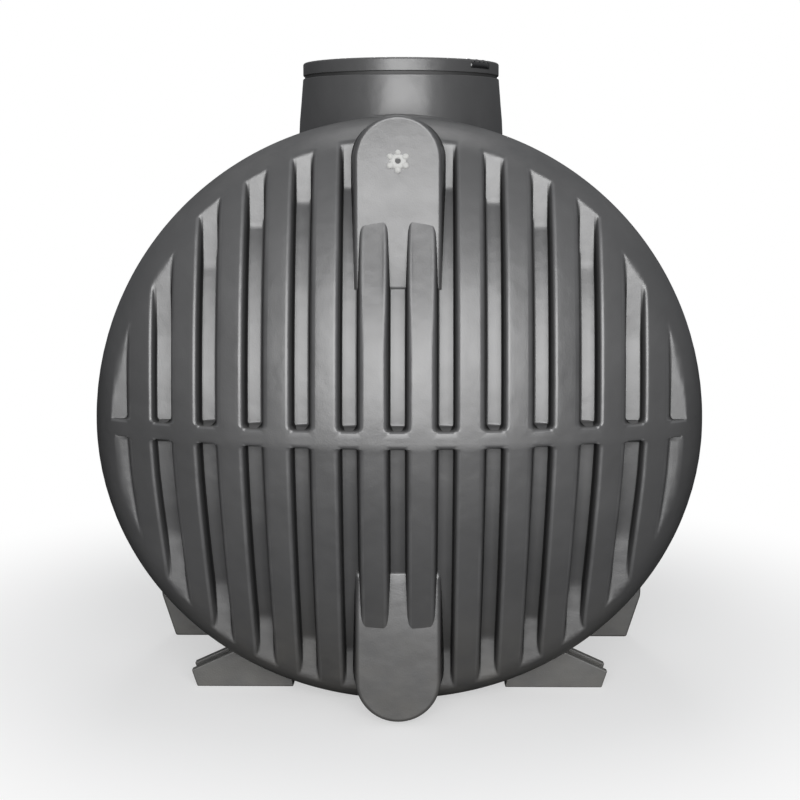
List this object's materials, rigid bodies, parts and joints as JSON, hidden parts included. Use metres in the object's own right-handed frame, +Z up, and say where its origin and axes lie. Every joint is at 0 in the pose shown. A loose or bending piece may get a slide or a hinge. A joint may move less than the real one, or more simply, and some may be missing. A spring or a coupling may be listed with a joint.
{
  "type": "underground water tank",
  "caption": "Horizontal plastic tank with grooved dished ends, a flat-faced connection pad and drain nose on each end, moulded feet, and a lift-off manhole lid on a tapered neck.",
  "frame": {"origin": "on the ground, under the middle of the tank", "axes": "+X to the right seen from the front, +Y along the tank from front to rear, +Z up"},
  "size_m": [2.3, 2.54, 2.4853],
  "materials": {
    "tank_shell": "dark grey rotationally moulded polyethylene with a soft sheen",
    "neck_plastic": "dark grey moulded polyethylene",
    "lid_plastic": "dark grey moulded polyethylene",
    "foot_plastic": "dark grey moulded polyethylene, dusty near the ground",
    "seal_rubber": "black seal",
    "catch_plastic": "black catch",
    "pale_mark": "pale scuffed mould mark"
  },
  "bodies": {
    "tank": {"front_end_upper": "tank_shell", "front_end_lower": "tank_shell", "front_mid_belt": "tank_shell", "rear_end_upper": "tank_shell", "rear_end_lower": "tank_shell", "rear_mid_belt": "tank_shell", "barrel_upper_left": "tank_shell", "barrel_upper_right": "tank_shell", "barrel_belt_left": "tank_shell", "barrel_belt_right": "tank_shell", "barrel_lower_left": "tank_shell", "barrel_lower_right": "tank_shell", "front_connection_pad": "tank_shell", "rear_connection_pad": "tank_shell", "front_drain_nose": "tank_shell", "rear_drain_nose": "tank_shell", "front_pilot_mark": "pale_mark", "rear_pilot_mark": "pale_mark", "front_foot_left": "foot_plastic", "front_foot_right": "foot_plastic", "rear_foot_left": "foot_plastic", "rear_foot_right": "foot_plastic", "middle_leg_left": "foot_plastic", "middle_leg_right": "foot_plastic", "manhole_neck": "neck_plastic", "lid_seal": "seal_rubber"},
    "lid": {"lid": "lid_plastic", "lid_catch": "catch_plastic"}
  },
  "joints": [
    {"name": "lid_lift", "type": "slide", "parent": "tank", "child": "lid", "axis": [0, 0, 1], "range_m": [0, 0.4]}
  ]
}
